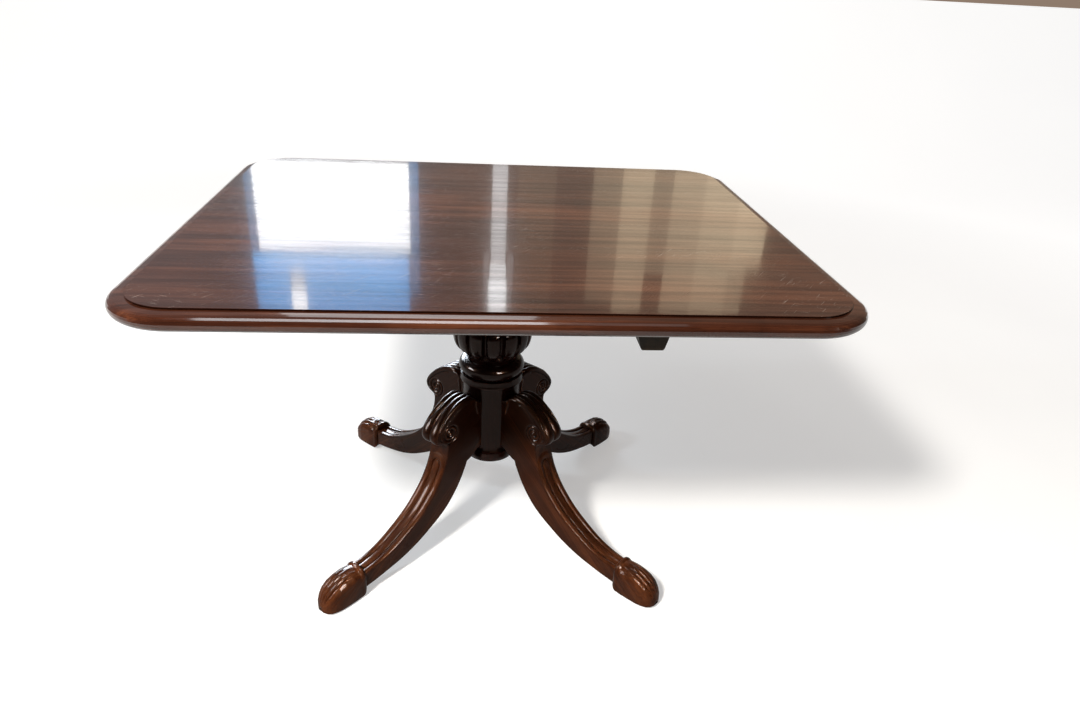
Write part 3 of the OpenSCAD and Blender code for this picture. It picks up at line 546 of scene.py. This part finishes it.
def leg_mesh():
    """The leg along X: a band of rows that follows its outline, and the two carved sides."""
    knee = evenly(spline(KNEE, 8), 1.5)
    shin = spline(SHIN, 8)
    turn = int(np.argmin(np.abs(shin[:, 1] - PANEL_HEAD_Z + 18)))
    shin = np.vstack([evenly(shin[:turn + 1], 0.8), evenly(shin[turn:], 1.7)[1:]])
    back = evenly(spline(BACK, 6), 3.5)
    tip = np.array([[ANKLE_AT + 3, 55.5], [ANKLE_AT + 3, 18.5]])
    loop = np.vstack([knee, shin[1:], tip, back[::-1]])
    n = len(loop)
    along = unit(np.roll(loop, -1, axis=0) - np.roll(loop, 1, axis=0))
    out = np.stack([-along[:, 1], along[:, 0]], axis=1)
    run = np.concatenate([[0], np.cumsum(np.linalg.norm(np.diff(loop, axis=0), axis=1))])
    last_knee = len(knee) - 1
    last_shin = last_knee + len(shin) - 1
    reed_from = run[np.argmin(np.hypot(*(knee - [77, 346]).T))]
    reed_to = run[last_knee]
    head = run[last_knee + np.argmin(np.abs(shin[:, 1] - PANEL_HEAD_Z))]
    cols = 2 * HALF_ROWS - 1
    verts = np.zeros((n, cols, 3))
    for i in range(n):
        w = float(half_width(loop[i, 0]))
        shown = last_knee <= i <= last_shin
        half = float(panel_half(loop[i, 1]))
        y = leg_rows(w, float(ease((run[i] - head + 26) / 20)) if shown else 0.0, half)
        gap = w - np.abs(y)
        t = (run[i] - reed_from) / (reed_to - reed_from)
        soft = EDGE_R + 3.0 * float(ease(t / 0.15) * ease((1 - t) / 0.15))
        lift = np.where(gap < soft, np.sqrt(np.clip(soft ** 2 - (soft - gap) ** 2, 0, None)) - soft, 0)
        if i <= last_knee:
            lift = lift + reed_height(y, w, t)
        elif shown:
            lift = lift + panel_height(y, run[i] - head, w, half) * np.where(gap < 0.4, 0, 1)
        point = loop[i] + lift[:, None] * out[i]
        verts[i] = np.stack([point[:, 0], y, point[:, 1]], axis=1)
    verts = verts.reshape(-1, 3)
    faces = grid_faces(n, cols, close_rows=True)
    first_col = np.arange(n) * cols
    verts = add_side(verts, faces, first_col, -1)
    verts = add_side(verts, faces, first_col + cols - 1, 1)
    return verts, faces


def add_side(verts, faces, edge_ids, way):
    """Closes the leg's side at way, 1 or -1 along Y, with points fine enough for its carving."""
    rim = verts[edge_ids][:, [0, 2]]
    n = len(rim)
    lo, hi = rim.min(0), rim.max(0)
    fine = np.mgrid[CARVED_X[0]:CARVED_X[1]:FINE, CARVED_Z[0]:CARVED_Z[1]:FINE].reshape(2, -1).T
    x, z = np.mgrid[lo[0]:hi[0]:COARSE, lo[1]:hi[1]:COARSE].reshape(2, -1)
    plain = (x > CARVED_X[1] + 1) | (x < CARVED_X[0] - 1) | (z < CARVED_Z[0] - 2)
    inner = np.vstack([fine, np.stack([x, z], axis=1)[plain]])
    inner = inner[inside(inner, rim)]
    inner = inner[nearest(inner, rim) > RIM_GAP]
    points = np.vstack([rim, inner])
    found = delaunay_2d_cdt([Vector(p) for p in points], [], [list(range(n))[::-1]], 1, 1e-5)
    flat, tris, origin = found[0], found[2], found[3]
    ids = []
    extra = []
    for p, source in zip(flat, origin):
        first = source[0] if source else -1
        if 0 <= first < n:
            ids.append(edge_ids[first])
        else:
            ids.append(len(verts) + len(extra))
            extra.append([p[0], p[1]])
    for tri in tris:
        a, b, c = [ids[k] for k in tri]
        faces.append((c, b, a) if way > 0 else (a, b, c))
    extra = np.array(extra)
    y = (half_width(extra[:, 0]) - carving(extra)) * way
    return np.vstack([verts, np.stack([extra[:, 0], y, extra[:, 1]], axis=1)])


def inside(points, ring):
    """Which points lie in the ring."""
    x, y = points[:, 0][:, None], points[:, 1][:, None]
    x1, y1 = ring[:, 0][None], ring[:, 1][None]
    x2, y2 = np.roll(ring[:, 0], -1)[None], np.roll(ring[:, 1], -1)[None]
    crosses = (y1 > y) != (y2 > y)
    at = x1 + (y - y1) * (x2 - x1) / np.where(y2 == y1, 1e-9, y2 - y1)
    return (np.sum(crosses & (x < at), axis=1) % 2) == 1


# The volute's turns, where it ends, and its radii. The rim groove runs beside these steps of the knee's curve
VOLUTE_TURNS, VOLUTE_END, VOLUTE_EYE, VOLUTE_SPREAD = 2.1, -70, 3.5, 20
RIM_IN, RIM_STEPS = 7.5, slice(40, 115)
LEAF_TOP, LEAF_LEN, LEAF_H = 341, 34, 2.6


def volute_line():
    t = np.linspace(0, 1, 260)
    a = np.radians(VOLUTE_END - 360 * VOLUTE_TURNS * (1 - t))
    r = VOLUTE_EYE + VOLUTE_SPREAD * t ** 0.85
    return VOLUTE_C + r[:, None] * np.stack([np.cos(a), np.sin(a)], axis=1)


def rim_line():
    knee = spline(KNEE, 8)
    along = unit(np.gradient(knee, axis=0))
    line = knee + RIM_IN * np.stack([along[:, 1], -along[:, 0]], axis=1)
    return line[RIM_STEPS]


def carving(p):
    """Depth of the spiral and the rim groove in the side of the knee, less what stands proud of it."""
    depth = np.zeros(len(p))
    for line, deep, wide in ((volute_line(), 2.4, 1.5), (rim_line(), 1.5, 1.1)):
        d = nearest(p, line)
        depth = np.maximum(depth, deep * np.exp(-(d / wide) ** 2) + 0.8 * np.exp(-(d / 3.6) ** 2))
    eye = np.hypot(*(p - VOLUTE_C).T)
    return depth - 2.6 * np.sqrt(np.clip(1 - (eye / 4.2) ** 2, 0, 1)) - drop_leaf(p)


def drop_leaf(p):
    """Height of the small hanging leaf beside the drum, on each side of the leg."""
    along = np.clip((LEAF_TOP - p[:, 1]) / LEAF_LEN, 0, 1)
    middle = 76 - 5 * along
    half = 5.5 * np.sqrt(np.clip(along / 0.25, 0, 1)) * (1 - along) ** 0.7 + 0.01
    share = np.clip(1 - ((p[:, 0] - middle) / half) ** 2, 0, 1)
    return np.where((p[:, 1] > LEAF_TOP - LEAF_LEN) & (p[:, 1] < LEAF_TOP), LEAF_H * np.sqrt(share), 0)


def around_stand(prefix, points, faces, sharp):
    """A piece for each corner, all with the same mesh, each turned to its corner's azimuth."""
    pieces = {}
    for corner, angle in LEG_AT.items():
        if pieces:
            piece = bpy.data.objects.new(prefix + corner, mesh)
            bpy.context.scene.collection.objects.link(piece)
        else:
            piece = new_piece(prefix + corner, points, faces, leg_wood, sharp)
            mesh = piece.data
        piece.matrix_world = Matrix.Rotation(math.radians(angle), 4, "Z")
        pieces[corner] = piece
    return pieces


for corner, piece in around_stand("carved_leg_", *leg_mesh(), sharp=60).items():
    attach(piece, "stand")
    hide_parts("leg_" + corner)


# Carved toe, from heel to tip

TOE_LEN, FOOT_W = 98.0, 58.0
FOOT_T = [[0, 67], [0.04, 73], [0.09, 73], [0.13, 69], [0.3, 70.5], [0.5, 68.5], [0.65, 63.5], [0.78, 55],
          [0.88, 44], [0.95, 32.5], [1, 20]]
FOOT_B = [[0, 0.42], [0.04, 0.47], [0.09, 0.48], [0.13, 0.475], [0.3, 0.495], [0.5, 0.5], [0.65, 0.495],
          [0.78, 0.455], [0.88, 0.385], [0.95, 0.29], [1, 0.14]]
FOOT_S = [[0, 46], [0.13, 43], [0.5, 35], [0.78, 27], [0.95, 17], [1, 11]]
FOOT_LOW = [[0, 14], [0.03, 9.5], [0.07, 6], [0.12, 4], [0.88, 4], [0.95, 5], [1, 7]]
CASTOR_AT, RECESS_R, RECESS_TOP = 437.0, 19.5, 38.0
LOBE_EDGES = [0, 0.29, 0.43, 0.57, 0.71, 1]
LOBE_H, LOBE_SUNK = 4.0, 3.1
SOLE_Z = 4.0
# Points over the foot's arch, up each of its side walls, and around the castor's recess
ARCH, WALL, RING = 90, 8, 48


def table(points, t):
    points = np.array(points, float)
    return np.interp(t, points[:, 0], points[:, 1])


def foot_mesh():
    """The foot along X: a row of points over it at each station, two ends, and a sole with a round recess."""
    stations = np.unique(np.concatenate([np.linspace(0, 0.14, 17), np.linspace(0.14, 0.85, 48),
                                         np.linspace(0.85, 1, 22)]))
    rows = []
    for t in stations:
        b = table(FOOT_B, t) * FOOT_W
        z0, z1, z2 = table(FOOT_LOW, t), table(FOOT_S, t), table(FOOT_T, t)
        share = np.linspace(0, 1, ARCH + 1)
        a = math.pi * (1 - share)
        f = np.interp(share, LOBE_EDGES, range(len(LOBE_EDGES))) % 1
        tip = 0.15 + 0.26 * (np.abs(f - 0.5) * 2) ** 1.3
        on = (ease((t - tip) / 0.05) * ease(share / 0.05) * ease((1 - share) / 0.05)
              * float(np.interp(t, [0.8, 1.0], [1.0, 0.2])))
        swell = (LOBE_H * np.abs(np.sin(math.pi * f)) ** 0.55 - LOBE_SUNK) * on
        x = ANKLE_AT + TOE_LEN * t
        ca, sa = np.cos(a), np.clip(np.sin(a), 0, 1)
        out_y, out_z = ca / b, sa / (z2 - z1)
        out = np.hypot(out_y, out_z)
        top = np.stack([np.full_like(a, x), b * ca + swell * out_y / out,
                        z1 + (z2 - z1) * sa ** 0.8 + swell * out_z / out], axis=1)
        up = np.linspace(0, 1, WALL, endpoint=False)
        left = np.stack([np.full(WALL, x), -b * (0.96 + 0.04 * up ** 0.5), z0 + (z1 - z0) * up], axis=1)
        right = left[::-1] * [1, -1, 1]
        rows.append(np.vstack([left, top, right]))
    verts = np.array(rows)
    n_rows, cols = verts.shape[:2]
    verts = verts.reshape(-1, 3)
    faces = grid_faces(n_rows, cols)
    start = len(verts)
    verts = np.vstack([verts, [verts[:cols].mean(0), verts[-cols:].mean(0)]])
    last = (n_rows - 1) * cols
    for j in range(cols - 1):
        faces.append((start, j + 1, j))
        faces.append((start + 1, last + j, last + j + 1))
    # Sole, with the round recess that takes the castor
    outline = [i * cols for i in range(n_rows)] + [i * cols + cols - 1 for i in range(n_rows - 1, -1, -1)]
    circle = np.radians(np.arange(RING) * 360 / RING)
    hole = np.stack([CASTOR_AT + RECESS_R * np.cos(circle), RECESS_R * np.sin(circle)], axis=1)
    flat_points = np.vstack([verts[outline][:, :2], hole])
    edges = [(len(outline) + k, len(outline) + (k + 1) % RING) for k in range(RING)]
    found = delaunay_2d_cdt([Vector(p) for p in flat_points], edges, [list(range(len(outline)))], 1, 1e-5)
    hole_low = len(verts)
    verts = np.vstack([verts, np.column_stack([hole, np.full(RING, SOLE_Z)]),
                       np.column_stack([hole, np.full(RING, RECESS_TOP)]), [[CASTOR_AT, 0, RECESS_TOP]]])
    ids = []
    for p, source in zip(found[0], found[3]):
        k = source[0] if source else 0
        ids.append(outline[k] if k < len(outline) else hole_low + k - len(outline))
    for tri in found[2]:
        mid = np.mean([[found[0][k][0], found[0][k][1]] for k in tri], axis=0)
        if np.hypot(mid[0] - CASTOR_AT, mid[1]) > RECESS_R * 0.985:
            a, b, c = [ids[k] for k in tri]
            faces.append((c, b, a))
    for k in range(RING):
        m = (k + 1) % RING
        faces.append((hole_low + k, hole_low + m, hole_low + RING + m, hole_low + RING + k))
        faces.append((hole_low + RING + k, hole_low + RING + m, hole_low + 2 * RING))
    return verts, faces


for corner, piece in around_stand("carved_toe_", *foot_mesh(), sharp=50).items():
    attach(piece, "stand")
    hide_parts("foot_" + corner)


# Pale floor and backdrop, part of the stage

FLOOR_NEAR, FLOOR_BACK, FLOOR_SIDE, SWEEP_R = -6.0, 3.2, 8.0, 2.2


def stage_material():
    t = Tree(bpy.data.materials.new("studio_floor"))
    cloud = t.noise((1.2, 1.2, 1.2), 3.0)
    pale = t.ramp(cloud, [(0.3, (0.60, 0.60, 0.60)), (0.7, (0.64, 0.64, 0.635))])
    rays = t.add("ShaderNodeLightPath").outputs
    mirrored = t.maths("MAXIMUM", rays["Is Glossy Ray"], rays["Is Transmission Ray"])
    seen = t.maths("MAXIMUM", rays["Is Camera Ray"], mirrored)
    t.set("Base Color", t.blend(seen, rgb((0.20, 0.20, 0.20)), pale))
    t.set("Emission Color", rgb(WHITE))
    where = t.add("ShaderNodeTexCoord").outputs["Object"]
    away = t.add("ShaderNodeVectorMath", {0: where}, operation="LENGTH").outputs["Value"]
    t.set("Emission Strength", t.times(seen, t.span(away, 1.0, 4.0, 0.42, 0.8)))
    t.set("Roughness", t.span(cloud, 0.3, 0.7, 0.6, 0.75))
    t.set("Normal", t.bump(cloud, 0.05, 0.001))
    return t.owner


floor_mesh = bpy.data.meshes.new("studio_floor")
sweep = [(FLOOR_NEAR, 0.0), (FLOOR_BACK, 0.0)]
sweep += [(FLOOR_BACK + SWEEP_R * math.sin(a), SWEEP_R - SWEEP_R * math.cos(a))
          for a in np.radians(np.arange(6, 61, 6))]
floor_mesh.from_pydata([(x, y, z) for y, z in sweep for x in (-FLOOR_SIDE, FLOOR_SIDE)], [],
                       [(2 * i, 2 * i + 1, 2 * i + 3, 2 * i + 2) for i in range(len(sweep) - 1)])
floor_mesh.polygons.foreach_set("use_smooth", [True] * len(floor_mesh.polygons))
floor_mesh.materials.append(stage_material())
floor = bpy.data.objects.new("studio_floor", floor_mesh)
bpy.context.scene.collection.objects.link(floor)


# Lights

def area(name, place, target, size, power, colour, hide=()):
    """A lamp in the shape of a rectangle. hide names the kinds of ray that don't see it."""
    data = bpy.data.lights.new(name, "AREA")
    data.shape = "RECTANGLE"
    data.size, data.size_y = size
    data.energy = power
    data.color = colour
    lamp = bpy.data.objects.new(name, data)
    lamp.location = place
    lamp.rotation_euler = (Vector(target) - Vector(place)).to_track_quat("-Z", "Y").to_euler()
    for ray in hide:
        setattr(lamp, "visible_" + ray, False)
    bpy.context.scene.collection.objects.link(lamp)
    return lamp


def glow(bright, size):
    """The power in watts of a lamp of this size that looks as bright as this."""
    return bright * math.pi * size[0] * size[1]


# The panels behind the table show in the polish of its top: a window, a strip of light and a warm wall.
# Each has its sides, its foot and its head in metres, its brightness and its colour.
REAR_Y = 2.6
SKY, DAYLIGHT, TAN = (0.07, 0.46, 1.0), (0.93, 0.97, 1.0), (1.0, 0.82, 0.55)
REAR_PANELS = {
    "window": (-1.16, -0.36, 1.22, 1.70, 4.0, DAYLIGHT),
    "window_halo_left": (-1.205, -1.162, 1.20, 1.70, 0.6, SKY),
    "window_halo_right": (-0.358, -0.31, 1.20, 1.95, 0.8, SKY),
    "window_low_left": (-1.20, -1.016, 1.72, 2.08, 3.0, SKY),
    "window_low_middle": (-1.015, -0.935, 1.72, 1.82, 3.0, SKY),
    "window_low_right": (-0.934, -0.37, 1.72, 2.08, 3.0, SKY),
    "window_glint": (-1.010, -0.940, 1.821, 1.93, 2.4, DAYLIGHT),
    "window_glint_low": (-1.015, -0.935, 1.931, 2.08, 5.5, DAYLIGHT),
    "strip_high": (0.08, 0.16, 1.20, 1.498, 1.3, DAYLIGHT),
    "strip": (0.08, 0.16, 1.50, 1.76, 1.7, DAYLIGHT),
    "strip_middle": (0.075, 0.165, 1.762, 1.86, 2.6, DAYLIGHT),
    "strip_low": (0.07, 0.17, 1.862, 2.08, 4.8, DAYLIGHT),
    "strip_haze_left": (0.040, 0.069, 1.70, 2.08, 0.4, DAYLIGHT),
    "strip_haze_right": (0.171, 0.205, 1.70, 2.08, 0.4, DAYLIGHT),
    "lip": (-1.2, 0.4, 3.0, 3.5, 2.8, DAYLIGHT),
    "wall_near": (0.216, 0.42, 1.20, 2.08, 0.10, TAN),
    "wall_edge": (0.62, 0.78, 1.20, 1.98, 0.34, TAN),
    "wall_left": (0.78, 0.95, 1.20, 2.04, 0.80, TAN),
    "wall_gap": (0.95, 1.06, 1.20, 1.80, 0.38, TAN),
    "wall_middle": (1.06, 1.24, 1.20, 2.04, 0.74, TAN),
    "wall_right": (1.24, 1.44, 1.20, 2.04, 0.95, TAN),
    "wall_far": (1.44, 1.62, 1.20, 1.76, 1.12, TAN),
    "wall_far_low": (1.44, 1.54, 1.76, 2.04, 0.7, TAN),
}
for label, (x0, x1, z0, z1, bright, colour) in REAR_PANELS.items():
    middle = ((x0 + x1) / 2, REAR_Y, (z0 + z1) / 2)
    size = (x1 - x0, z1 - z0)
    area("rear_" + label, middle, (middle[0], 0.0, middle[2]), size, glow(bright, size), colour, ["camera"])

area("key_softbox", (-1.6, -2.4, 3.0), (0.0, 0.0, 0.1), (0.5, 0.5), 270.0, (1.0, 0.96, 0.90), ["glossy"])
area("left_window", (-2.1, 0.15, 1.50), (0.0, 0.0, 0.35), (0.14, 0.40), 18.0, (0.78, 0.90, 1.0), ["glossy"])
area("fill_softbox", (2.3, -2.0, 1.5), (0.0, 0.0, 0.35), (0.5, 0.8), 3.0, (1.0, 0.90, 0.78))
area("top_softbox", (0.0, -0.6, 3.6), (0.0, -0.2, 0.0), (2.2, 2.2), 12.0, (1.0, 0.98, 0.95))


# Windows that show only as highlights in the polish of the stand.
# Each has its azimuth, its height angle, its size, its brightness and its colour, seen from the knees.
KNEES, GLINT_AWAY = Vector((0.0, 0.0, 0.3)), 2.5
GLINTS = {
    "left": (190, 30, (0.9, 1.0), 120.0, (0.86, 0.93, 1.0)),
    "behind_left": (112, 18, (1.3, 0.6), 150.0, (0.76, 0.88, 1.0)),
    "behind_right": (55, 42, (0.5, 0.5), 80.0, (0.95, 0.96, 1.0)),
    "front_low": (-64, 30, (0.6, 0.7), 190.0, (0.94, 0.92, 0.90)),
    "front_middle": (-80, 56, (0.9, 0.8), 260.0, (0.94, 0.92, 0.90)),
    "front_high": (-118, 70, (1.2, 0.7), 260.0, (0.94, 0.92, 0.90)),
}
EDGE_STRIP = (1.5, 0.10)
area("edge_strip", (-0.45, -0.76, 3.0), (-0.45, -0.515, 0.72), EDGE_STRIP, glow(10.0, EDGE_STRIP), DAYLIGHT,
     ["camera", "diffuse"])
stand_pieces = bpy.data.collections.new("stand_pieces")
for obj in bpy.data.objects:
    if obj.type == "MESH" and not obj.name.startswith(("top_board", "bearer", "studio")):
        stand_pieces.objects.link(obj)
for label, (azimuth, rise, size, bright, colour) in GLINTS.items():
    azimuth, rise = math.radians(azimuth), math.radians(rise)
    way = Vector((math.cos(azimuth) * math.cos(rise), math.sin(azimuth) * math.cos(rise), math.sin(rise)))
    lamp = area("glint_" + label, KNEES + GLINT_AWAY * way, KNEES, size, glow(bright, size), colour,
                ["camera", "diffuse"])
    lamp.light_linking.receiver_collection = stand_pieces


# The room's own light: cool on the left, warm on the right, and strongest behind the table

world = bpy.data.worlds.new("studio")
bpy.context.scene.world = world
room = Tree(world)
seen_way = room.add("ShaderNodeTexCoord").outputs["Generated"]
way = room.add("ShaderNodeSeparateXYZ", {"Vector": seen_way}).outputs
room.set("Color", room.ramp(room.span(way[0], -0.9, 0.9),
                            [(0.25, (0.92, 0.91, 0.95)), (0.65, (0.90, 0.66, 0.50))], "EASE"))
room.set("Strength", room.span(way[1], -0.1, 0.8, 0.06, 0.30))


# Camera at the photo's viewing angle

CAM_AT = (-0.060758, -1.582996, 1.198241)
YAW, PITCH, ROLL, LENS = -0.106163, 0.461597, 0.055682, 26.421
ahead = Vector((-math.sin(YAW) * math.cos(PITCH), math.cos(YAW) * math.cos(PITCH), -math.sin(PITCH)))
level_right = Vector((math.cos(YAW), math.sin(YAW), 0))
level_up = level_right.cross(ahead)
right = math.cos(ROLL) * level_right + math.sin(ROLL) * level_up
up = -math.sin(ROLL) * level_right + math.cos(ROLL) * level_up
cam_data = bpy.data.cameras.new("photo_camera")
cam_data.lens = LENS
cam_data.sensor_width = 36.0
cam_data.clip_start = 0.05
camera = bpy.data.objects.new("photo_camera", cam_data)
camera.matrix_world = Matrix(((right[0], up[0], -ahead[0], CAM_AT[0]),
                              (right[1], up[1], -ahead[1], CAM_AT[1]),
                              (right[2], up[2], -ahead[2], CAM_AT[2]), (0, 0, 0, 1)))
bpy.context.scene.collection.objects.link(camera)
bpy.context.scene.camera = camera
bpy.context.scene.view_settings.view_transform = "Standard"
